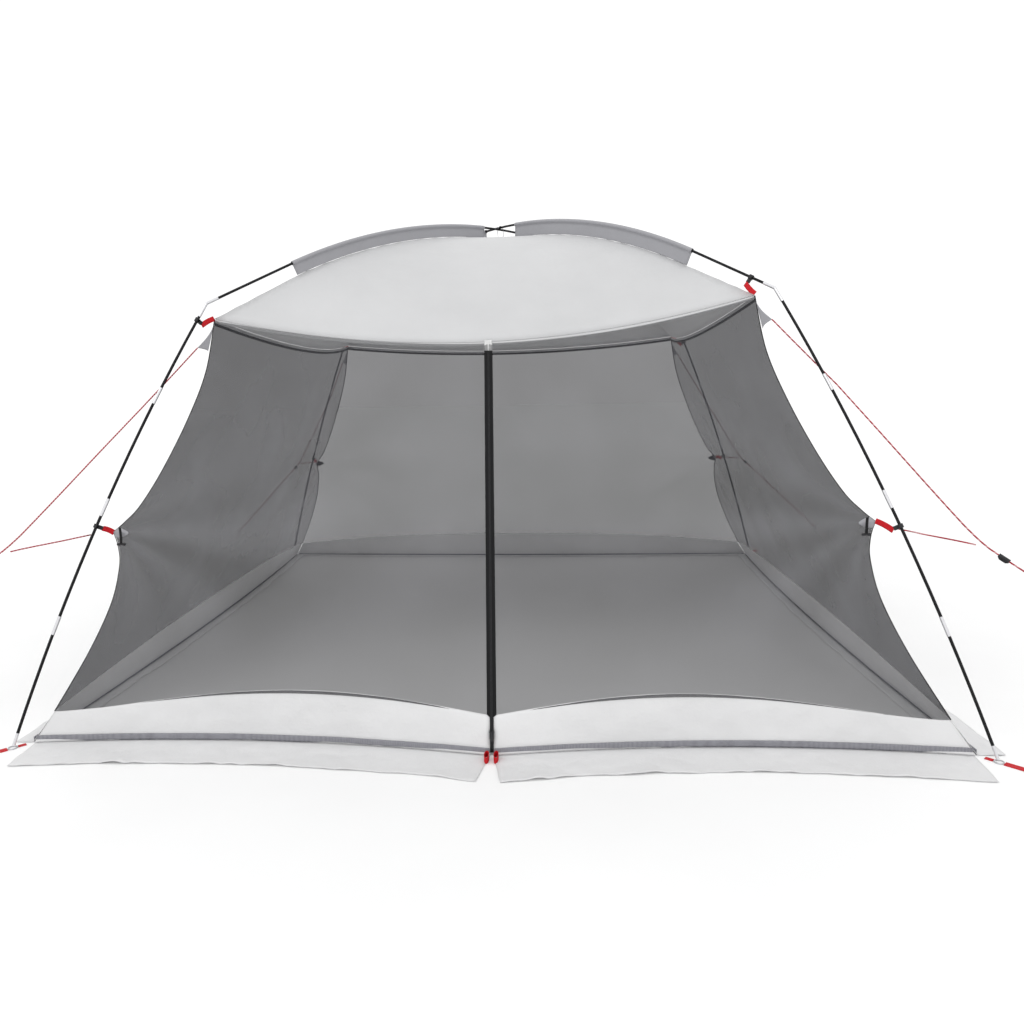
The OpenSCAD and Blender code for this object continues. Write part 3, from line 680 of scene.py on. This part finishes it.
def seam_shares(t):
    """(height share, reach share) of the seam, t = 0 at the roof and 1 at the band."""
    if t < STRAP_SHARE:
        return UPPER_SEAM(t / STRAP_SHARE)
    return LOWER_SEAM((t - STRAP_SHARE) / (1 - STRAP_SHARE))


def seam(k, t):
    shares = seam_shares(t)
    top, low = ROOF_CORNER[k], WALL_CORNER[k]
    flat = top.lerp(low, shares[1])
    return Vector((flat.x, flat.y, shares[0] * (top.z - SHEET_GAP)))


def strap_point(k):
    return seam(k, STRAP_SHARE)


def tension(k, point):
    """Folds that fan out from the strap at mid height, as a height off the cloth."""
    away = point - strap_point(k)
    flat = away.to_2d().length
    distance = away.length
    angle = math.atan2(away.z, flat)
    near = min(1.0, distance / 0.12)
    return 0.011 * near * math.exp(-distance / 0.45) * math.cos(11 * angle + 0.6)


def wall_point(k, t, v, folds=True):
    """The mesh of wall k, t = 0 at the roof edge and 1 at the band, v from -1 to 1."""
    right_k = (k + 1) % 4
    left, right = seam(k, t), seam(right_k, t)
    height = seam_shares(t)[0]
    top = roof_point(k, 1, 0) - UP * SHEET_GAP
    low = WALL_CORNER[k].lerp(WALL_CORNER[right_k], 0.5) + WALL_BOW * INWARD[k]
    middle_share = BAND_HEIGHT / roof_point(0, 1, 0).z
    share = height + (middle_share - BAND_SHARE) * max(0.0, (t - 0.8) / 0.2) ** 2
    middle = top.lerp(low, 1 - share)
    middle.z = top.z * share
    power = 2 + 2.5 * math.sin(math.pi * (1 - height))
    point = left.lerp(right, (v + 1) / 2)
    point += (middle - (left + right) / 2) * (1 - abs(v) ** power)
    if folds:
        free = (1 - v ** 6) * math.sin(math.pi * t) ** 0.5 if 0 < t < 1 else 0.0
        off = free * (rumple(point, 0.35, 0.012, k) + tension(k, point) + tension(right_k, point))
        point += INWARD[k] * off
    return point


def wall_base(k, v):
    right_k = (k + 1) % 4
    point = WALL_CORNER[k].lerp(WALL_CORNER[right_k], (v + 1) / 2)
    return point + WALL_BOW * INWARD[k] * (1 - v * v)


WALL_NAMES = {1: "right", 2: "back", 3: "left"}
WALL_ROWS = 56
WALL_COLUMNS = 90
# The cloth of a wall ends this share of the way to the corner seam
END = 0.998


def spread(j, count):
    """Columns stand closer together near both ends of a wall."""
    return END * math.sin(math.pi * (j / count - 0.5))


def crinkle(point, out, edge):
    """Small random folds of the coated cloth; edge is 0 along what holds it and 1 where it is free."""
    return out * edge * (rumple(point, 0.16, 0.007, 5) + rumple(point, 0.055, 0.004, 9))


def make_wall(k):
    name = WALL_NAMES[k]
    rows = [
        [wall_point(k, i / WALL_ROWS, spread(j, WALL_COLUMNS)) for j in range(WALL_COLUMNS + 1)]
        for i in range(WALL_ROWS + 1)
    ]
    even = [
        wall_point(k, i / WALL_ROWS, spread(j, WALL_COLUMNS), False)
        for i in range(WALL_ROWS + 1) for j in range(WALL_COLUMNS + 1)
    ]
    # the side walls take the netting with painted shade
    wall = grid(f"net_{name}", rows, BACK_NET if k == 2 else SIDE_NET_PAINTED_SHADE)
    mark_fold_shading(wall, even)
    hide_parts(f"wall_{name}")


BAND_ROWS = 14
# The grey webbing along the foot of the bands is centred this high
TAPE_HEIGHT = 0.014


def wall_band_point(k, s, v):
    """The band of wall k, s = 0 at the mesh and 1 on the ground."""
    top = wall_point(k, 1, v, False)
    low = wall_base(k, v)
    point = top.lerp(low, s)
    # the band hangs nearly upright and bellies a little
    point += INWARD[k] * 0.012 * math.sin(math.pi * s) * (1 - v ** 4)
    point += crinkle(point, INWARD[k], math.sin(math.pi * min(s, 0.97)) * (1 - v ** 8))
    point.z = max(point.z, 0.002)
    return point


def make_wall_band(k):
    name = WALL_NAMES[k]
    rows = [
        [wall_band_point(k, i / BAND_ROWS, spread(j, 150)) for j in range(151)]
        for i in range(BAND_ROWS + 1)
    ]
    # painted light: the paler band cloth stands in for light through the thin cloth
    band = grid(f"band_cloth_{name}", rows, BAND_PAINTED_LIGHT, thickness=0.0008)
    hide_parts(f"band_{name}")
    tape = [
        wall_band_point(k, 1 - TAPE_HEIGHT / BAND_HEIGHT, spread(j, 150)) - INWARD[k] * 0.002
        for j in range(151)
    ]
    strip(f"band_tape_{name}", tape, lambda i: UP, 0.025, GREY_TAPE)


def make_inner_strip(k):
    """The allowance of the band that turns in on the ground, with a wavy edge."""
    name = WALL_NAMES[k]
    rows = []
    for i in range(5):
        s = i / 4
        row = []
        for j in range(121):
            v = spread(j, 120) * 0.985
            p = wall_base(k, v)
            reach = 0.060 + 0.014 * noise.noise(Vector((v * 9, k, 0)))
            lift = 0.002 + 0.006 * abs(noise.noise(Vector((v * 14, k, s * 2)))) * s
            row.append(p + INWARD[k] * (0.004 + reach * s) + UP * lift)
        rows.append(row)
    # painted light: the paler band cloth stands in for light through the thin cloth
    grid(f"inner_strip_{name}", rows, BAND_PAINTED_LIGHT, thickness=0.0006)


# What lies flat of the skirts: in front and behind all of it, at the sides only the part not tucked under
SKIRT_SHOWN = (0.196, 0.095, 0.196, 0.068)


def skirt_point(base, out, s, width, seed):
    """A skirt's point at share s of its width, with ripples and a wavy outer edge."""
    wave = 0.010 * noise.noise(Vector((base.x * 2.6, base.y * 2.6, seed))) * s
    wave += 0.006 * noise.noise(Vector((base.x * 9, base.y * 9, seed + 4))) * s
    ripple = 0.5 + 0.5 * noise.noise(Vector((base.x * 4.3, base.y * 4.3, seed)))
    fine = abs(noise.noise(Vector((base.x * 12, base.y * 12, s * 2.2 + seed))))
    lift = 0.013 * s ** 0.7 * ripple * (0.25 + 1.6 * fine)
    return base + out * (0.001 + (width + wave) * s) + UP * (0.0012 + lift)


def make_wall_skirt(k):
    line = [wall_base(k, spread(j, 170)) for j in range(171)]
    shown = SKIRT_SHOWN[k]
    rows = [[skirt_point(p, -INWARD[k], i / 12, shown, k * 2.0) for p in line] for i in range(13)]
    skirt = grid(f"skirt_{WALL_NAMES[k]}", rows, BAND, thickness=0.0008)
    return skirt


WALL_SKIRTS = [make_wall_skirt(k) for k in (1, 2, 3)]
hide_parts("ground_skirts")
for wall_index in (1, 2, 3):
    make_wall(wall_index)
    make_wall_band(wall_index)
    make_inner_strip(wall_index)

# ---------------------------------------------------------------- front door halves


def door_body(side):
    return f"door_flap_{SIDES[side]}"


def cross_fold(piece):
    """Bakes the piece's placement into its mesh, with no body attached."""
    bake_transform(piece)


def flap_point(side, t, w):
    """A point of the flat flap: t from the zip head to the ground, w from the zip to the fold line."""
    return ZIP_HEAD + t * ((ZIP_FOOT - ZIP_HEAD) + w * (WALL_CORNER[side] - ZIP_FOOT))


def front_band_top(w):
    return BAND_CORNER + 0.025 * (1 - w) + (BAND_HEIGHT - BAND_CORNER) * math.sin(math.pi * w)


def front_band_edge(side, w):
    """The top edge of the front band, which ends in the corner seam."""
    edge = flap_point(side, 1 - front_band_top(w) / ZIP_HEAD.z, w)
    if w > 0.9:
        edge = edge.lerp(seam(side, 1), (w - 0.9) / (END - 0.9))
    return edge


def front_base(side, w):
    return ZIP_FOOT.lerp(WALL_CORNER[side], w) + Vector((0, FRONT_BOW * 4 * w * (1 - w), 0))


def front_top(side, w):
    """The head of the front mesh, w = 0 at the zip head and 1 at the roof corner."""
    return roof_point(0, 1, SX[side] * w) - UP * SHEET_GAP


def door_point(side, t, w, folds=True):
    """The front mesh half: t = 0 at the roof edge and 1 at the band, w = 0 at the zip and 1 at the seam."""
    height = seam_shares(t)[0]
    edge = seam(side, t)
    # flat inside the fold line, curved out to the seam beyond it
    fold_w = 1 - height
    x = abs(edge.x) * w
    reach = abs(WALL_CORNER[side].x) * fold_w
    if x <= reach:
        share = x / abs(WALL_CORNER[side].x) / max(fold_w, 1e-6)
        point = flap_point(side, fold_w, share)
    else:
        start = flap_point(side, fold_w, 1)
        s = (x - reach) / max(abs(edge.x) - reach, 1e-6)
        head = front_top(side, s) - front_top(side, 0).lerp(front_top(side, 1), s)
        point = start.lerp(edge, s) + head * height ** 6
    if folds:
        free = (1 - w ** 6) * (1 - (1 - w) ** 12) * math.sin(math.pi * min(max(t, 0.0), 1.0)) ** 0.5
        off = 0.6 * rumple(point, 0.35, 0.012, 7) + tension(side, point)
        point = point + Vector((0, 1, 0)) * free * off
    return point


DOOR_ROWS = 60
DOOR_COLUMNS = 56


def door_net_point(side, t, w, folds=True):
    """The front mesh half, whose foot follows the curved top of the band."""
    point = door_point(side, t, w, folds)
    if t > 0.8:
        point = point.lerp(front_band_edge(side, w), ((t - 0.8) / 0.2) ** 1.5)
    return point


def make_door_net(side):
    columns = [
        0.003 + (END - 0.003) * math.sin(math.pi / 2 * j / DOOR_COLUMNS) for j in range(DOOR_COLUMNS + 1)
    ]
    rows = [[door_net_point(side, i / DOOR_ROWS, w) for w in columns] for i in range(DOOR_ROWS + 1)]
    even = [door_net_point(side, i / DOOR_ROWS, w, False) for i in range(DOOR_ROWS + 1) for w in columns]
    net = grid(f"net_front_{SIDES[side]}", rows, FRONT_NET, None)
    mark_fold_shading(net, even)
    cross_fold(net)
    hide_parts(f"front_panel_{SIDES[side]}", f"flap_mesh_{SIDES[side]}")


def door_band_point(side, s, w):
    """The front band, s = 0 at the mesh and 1 on the ground."""
    point = front_band_edge(side, w).lerp(front_base(side, w), s)
    edge = math.sin(math.pi * min(s, 0.97)) * (1 - w ** 10) * (1 - (1 - w) ** 30)
    point += crinkle(point, Vector((0, 1, 0)), edge)
    point.z = max(point.z, 0.002)
    return point


DOOR_BAND_COLUMNS = [0.004 + (0.996 - 0.004) * j / 96 for j in range(97)]


def make_door_band(side):
    rows = [
        [door_band_point(side, i / BAND_ROWS, w) for w in DOOR_BAND_COLUMNS]
        for i in range(BAND_ROWS + 1)
    ]
    band = grid(f"front_band_{SIDES[side]}", rows, BAND, None, thickness=0.0008)
    cross_fold(band)
    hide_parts(f"flap_band_{SIDES[side]}")
    tape_path = [
        door_band_point(side, 1 - TAPE_HEIGHT / front_band_edge(side, w).z, w) - Vector((0, 0.002, 0))
        for w in DOOR_BAND_COLUMNS
    ]
    tape = strip(f"front_tape_{SIDES[side]}", tape_path, lambda i: UP, 0.025, GREY_TAPE, None)
    cross_fold(tape)


def make_door_skirt(side):
    """The front skirts end in a V at the zip: narrow at the base and wide at the outer edge."""
    rows = []
    for i in range(15):
        s = i / 14
        first, last = 0.004 + 0.020 * s, 0.992 - 0.012 * s
        columns = [first + (last - first) * j / 130 for j in range(131)]
        rows.append([
            skirt_point(front_base(side, w), Vector((0, -1, 0)), s, SKIRT_SHOWN[0], 11.0 + side)
            for w in columns
        ])
    skirt = grid(f"front_skirt_{SIDES[side]}", rows, BAND, None, thickness=0.0008)
    cross_fold(skirt)
    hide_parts(f"flap_skirt_{SIDES[side]}")


for door_side in (0, 1):
    make_door_net(door_side)
    make_door_band(door_side)
    make_door_skirt(door_side)

# ---------------------------------------------------------------- bindings

BINDING_W = 0.012
CORNER_BINDING_W = 0.006


def make_bindings():
    """Black tapes over the raw edges: the heads of three walls, and the corner seams."""
    for k in (1, 2, 3):
        path = [roof_point(k, 1, -1 + 2 * j / 80) - UP * 0.022 - INWARD[k] * 0.001 for j in range(81)]
        strip(f"head_binding_{k}", path, lambda i: UP, BINDING_W, BINDING)
    for k in range(4):
        corner_path = [seam(k, i / 90) for i in range(91)]
        side = Vector((SX[k], SY[k], 0)).normalized().cross(UP)
        strip(
            f"corner_binding_{CORNERS[k]}", corner_path, lambda i, a=side: a, CORNER_BINDING_W, BINDING,
            crown=0.0015,
        )


make_bindings()

# ---------------------------------------------------------------- zip


def zip_line(t):
    return ZIP_HEAD.lerp(ZIP_FOOT, t)


ZIP_TAPE_W = 0.0175
# The tapes start at this share of the zip's length, behind the tab at its head
ZIP_TAPE_FROM = 0.0225
# Below this share of the zip's length the band's cloth covers all but the coil side of the tape
ZIP_COVER_FROM = 0.914
ZIP_COVERED_W = 0.0065


def make_zip():
    out = Vector((0, -1, 0))
    for side in (0, 1):
        direction = (WALL_CORNER[side] - ZIP_FOOT).normalized()
        rows = []
        for i in range(161):
            t = ZIP_TAPE_FROM + (0.992 - ZIP_TAPE_FROM) * i / 160
            width = ZIP_TAPE_W if t < ZIP_COVER_FROM else ZIP_COVERED_W
            sway = 0.0014 * math.sin(t * 41)
            rows.append([
                zip_line(t) + direction * width * s + out * (0.0018 + sway * s * s)
                for s in (0, 0.3, 0.6, 0.85, 1)
            ])
        tape = grid(f"zip_half_{SIDES[side]}", rows, ZIP, door_body(side), thickness=0.0008)
        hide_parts(f"zip_tape_{SIDES[side]}")
        make_coil(side, direction, out)


def make_coil(side, direction, out):
    """The nylon coil: short teeth across the tape's inner edge."""
    count = 300
    points, faces = [], []
    for i in range(count):
        t = 0.025 + 0.960 * (i + 0.5 * side) / count
        base = zip_line(t) + out * 0.0028
        along = (ZIP_FOOT - ZIP_HEAD).normalized() * 0.0014
        reach = direction * 0.0042
        start = base + direction * 0.0003
        first = len(points)
        for lift in (-0.0006, 0.0006):
            for corner in (-along, reach - along, reach + along, along):
                points.append(tuple(start + corner + out * lift))
        faces += [
            (first, first + 1, first + 2, first + 3), (first + 7, first + 6, first + 5, first + 4),
            (first, first + 4, first + 5, first + 1), (first + 1, first + 5, first + 6, first + 2),
            (first + 2, first + 6, first + 7, first + 3), (first + 3, first + 7, first + 4, first),
        ]
    mesh = bpy.data.meshes.new(f"zip_coil_{SIDES[side]}")
    mesh.from_pydata(points, [], faces)
    link(bpy.data.objects.new(f"zip_coil_{SIDES[side]}", mesh), BLACK, door_body(side))


def make_zip_tab():
    """The white tab sewn over the zip head."""
    path = [ZIP_HEAD + Vector((0, -0.004, 0.012 - 0.046 * i / 8)) for i in range(9)]
    strip("zip_head_tab", path, lambda i: Vector((1, 0, 0)), 0.034, WHITE_TAB, crown=0.002)


make_zip()
make_zip_tab()

# ---------------------------------------------------------------- straps and loops


def node_solids(node):
    """The points of each separate solid of a CAD node, found by joining vertices in one place."""
    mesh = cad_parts[node].data
    places = [tuple(round(c, 6) for c in v.co) for v in mesh.vertices]
    first_at = {}
    parent = [first_at.setdefault(place, i) for i, place in enumerate(places)]

    def root(i):
        while parent[i] != i:
            parent[i] = parent[parent[i]]
            i = parent[i]
        return i

    for edge in mesh.edges:
        a, b = (root(i) for i in edge.vertices)
        parent[a] = b
    groups = {}
    for v in mesh.vertices:
        groups.setdefault(root(v.index), {})[places[v.index]] = v.co.copy()
    return [list(points.values()) for points in groups.values()]


def make_straps():
    """Red webbing between the pole clips and the cloth, doubled back through the clip."""
    clips = [sum(points, Vector()) / len(points) for points in node_solids("pole_clips")]
    for n, points in enumerate(node_solids("red_straps")):
        middle = sum(points, Vector()) / len(points)
        clip = min(clips, key=lambda c: (c - middle).length)
        along = (middle - clip).normalized()
        ordered = sorted(points, key=lambda p: p.dot(along))
        half = len(ordered) // 2
        near = sum(ordered[:half], Vector()) / half
        far = sum(ordered[half:], Vector()) / (len(ordered) - half)
        along = (far - near).normalized()
        inner, outer = near - along * 0.007, far + along * 0.010
        side = Vector((middle.x, middle.y - CROSSING.y, 0)).normalized().cross(UP)
        face = side.cross(along)
        path = [inner.lerp(outer, i / 12) - face * 0.0025 * math.sin(math.pi * i / 12) for i in range(13)]
        for lap in (-1, 1):
            layer = [p + side * lap * 0.0014 for p in path]
            strip(
                f"red_strap_{n}_{'a' if lap < 0 else 'b'}", layer, lambda i, f=face: f, 0.021, RED,
                thickness=0.0014,
            )
    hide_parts("red_straps")


# How far down the corner seam the guy patches reach
PATCH_LOW = 0.087


def make_patches():
    """The grey triangles under the roof corners, sewn to the seam and pulled out by the guy rope."""
    for k in range(4):
        out = Vector((SX[k], SY[k], 0)).normalized()
        top = ROOF_CORNER[k] + out * 0.004 - UP * 0.02
        low = ROOF_CORNER[k].lerp(seam(k, PATCH_LOW), 0.62) + out * 0.005
        tip = upper_route_point(k, UPPER_ROUTE[0])
        rows = []
        for i in range(13):
            s = i / 12
            a, b = top.lerp(tip, s * 0.97), low.lerp(tip, s * 0.97)
            row = []
            for j in range(9):
                p = a.lerp(b, j / 8)
                # hollow free edges, as a cut patch under tension has
                p -= out * 0.010 * math.sin(math.pi * s) * (2 * j / 8 - 1) ** 2
                row.append(p + out.cross(UP) * rumple(p, 0.05, 0.002, 2))
            rows.append(row)
        patch = grid(f"guy_patch_{CORNERS[k]}", rows, GREY, thickness=0.001)
        make_mid_patch(k)
    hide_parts("corner_patches")


def make_mid_patch(k):
    """A grey reinforcement folded over the corner seam at the strap."""
    for side_k in (k, (k - 1) % 4):
        rows = []
        for i in range(9):
            t = STRAP_SHARE + (i / 8 - 0.5) * 0.085
            row = []
            for j in range(9):
                reach = 0.055 * (1 - abs(i / 4 - 1) ** 2 * 0.75) * j / 8
                if k in (0, 1) and side_k == 0:
                    p = door_point(k, t, 1 - reach / 1.4, False) - Vector((0, 0.003, 0))
                else:
                    v = -1 + reach / 1.45 if side_k == k else 1 - reach / 1.45
                    p = wall_point(side_k, t, v, False) - INWARD[side_k] * 0.003
                row.append(p)
            rows.append(row)
        patch = grid(f"seam_patch_{CORNERS[k]}_{side_k}", rows, GREY, thickness=0.001)


make_straps()
make_patches()


def make_zip_loops():
    """The two red peg loops at the foot of the zip."""
    for side in (0, 1):
        low, high = (Vector(p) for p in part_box(f"peg_loop_{SIDES[side]}"))
        centre = (low + high) / 2
        path = []
        for i in range(41):
            turn = 2 * math.pi * i / 40
            path.append(Vector((
                centre.x + 0.008 * math.sin(turn),
                centre.y + 0.027 * math.cos(turn),
                0.0125,
            )))
        loop = strip(
            f"zip_peg_loop_{SIDES[side]}", path, lambda i: UP, 0.023, RED, door_body(side),
            thickness=0.0014,
        )
        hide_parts(f"peg_loop_{SIDES[side]}")


make_zip_loops()


def make_tie_backs():
    """Tie-backs beside the front corner seams: a tape that hangs in a loop, and a toggle."""
    for side in (0, 1):
        low, high = (Vector(p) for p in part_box(f"tie_back_{SIDES[side]}"))
        centre = (low + high) / 2
        length = high.z - low.z - 0.006
        path = [
            Vector((centre.x, centre.y + 0.002 * math.sin(math.pi * i / 14), high.z - length * i / 14))
            for i in range(15)
        ]
        tape = strip(
            f"tie_tape_{SIDES[side]}", path, lambda i: Vector((1, 0, 0)), 0.010, BINDING,
            f"tie_{SIDES[side]}",
        )
        toggle = revolve(
            f"tie_toggle_{SIDES[side]}",
            [(-0.017, 0.0), (-0.017, 0.0035), (-0.0155, 0.0048), (-0.006, 0.005), (-0.003, 0.0036),
             (0.003, 0.0036), (0.006, 0.005), (0.0155, 0.0048), (0.017, 0.0035), (0.017, 0.0)],
            Vector((centre.x, centre.y, low.z + 0.005)), BLACK, f"tie_{SIDES[side]}",
        )
        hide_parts(f"tie_back_{SIDES[side]}")


make_tie_backs()

# ---------------------------------------------------------------- carried-over CAD parts

FINISH = {
    "leg_tubes": POLE, "roof_pole": POLE, "foot_tips": SILVER, "pole_ferrules": SILVER,
    "pole_elbows": SILVER, "pole_clips": BLACK, "tensioner": BLACK, "foot_rings": STEEL,
    "guy_pegs": STEEL, "zip_slider": BLACK, "zip_pull": BLACK, "foot_loops": RED,
}
for node_name, node_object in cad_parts.items():
    for start, finish in FINISH.items():
        if node_name.startswith(start):
            node_object.data.materials.clear()
            node_object.data.materials.append(finish)

# ---------------------------------------------------------------- floor and light


def make_stage():
    mesh = bpy.data.meshes.new("floor")
    size = 60
    corners = [(-size, -size, 0), (size, -size, 0), (size, size, 0), (-size, size, 0)]
    mesh.from_pydata(corners, [], [(0, 1, 2, 3)])
    floor = bpy.data.objects.new("floor", mesh)
    g = Graph("floor", (0.9, 0.9, 0.9), 0.9)
    g.colour(g.ramp(g.noise(1.5, 3), [(0.3, (0.89, 0.89, 0.89)), (0.7, (0.91, 0.91, 0.91))]))
    mesh.materials.append(g.material)
    bpy.context.scene.collection.objects.link(floor)
    floor.location.z = -0.0005


def make_light():
    world = bpy.data.worlds.new("studio")
    world.use_nodes = True
    sky = world.node_tree.nodes["Background"]
    sky.inputs["Color"].default_value = (1, 1, 1, 1)
    sky.inputs["Strength"].default_value = 1.1
    bpy.context.scene.world = world
    data = bpy.data.lights.new("key", "SUN")
    data.energy = 0.49
    data.angle = math.radians(35)
    key = bpy.data.objects.new("key", data)
    key.rotation_euler = (math.radians(38), 0, math.radians(-22))
    bpy.context.scene.collection.objects.link(key)
    bpy.context.scene.view_settings.view_transform = "Standard"


make_stage()
make_light()
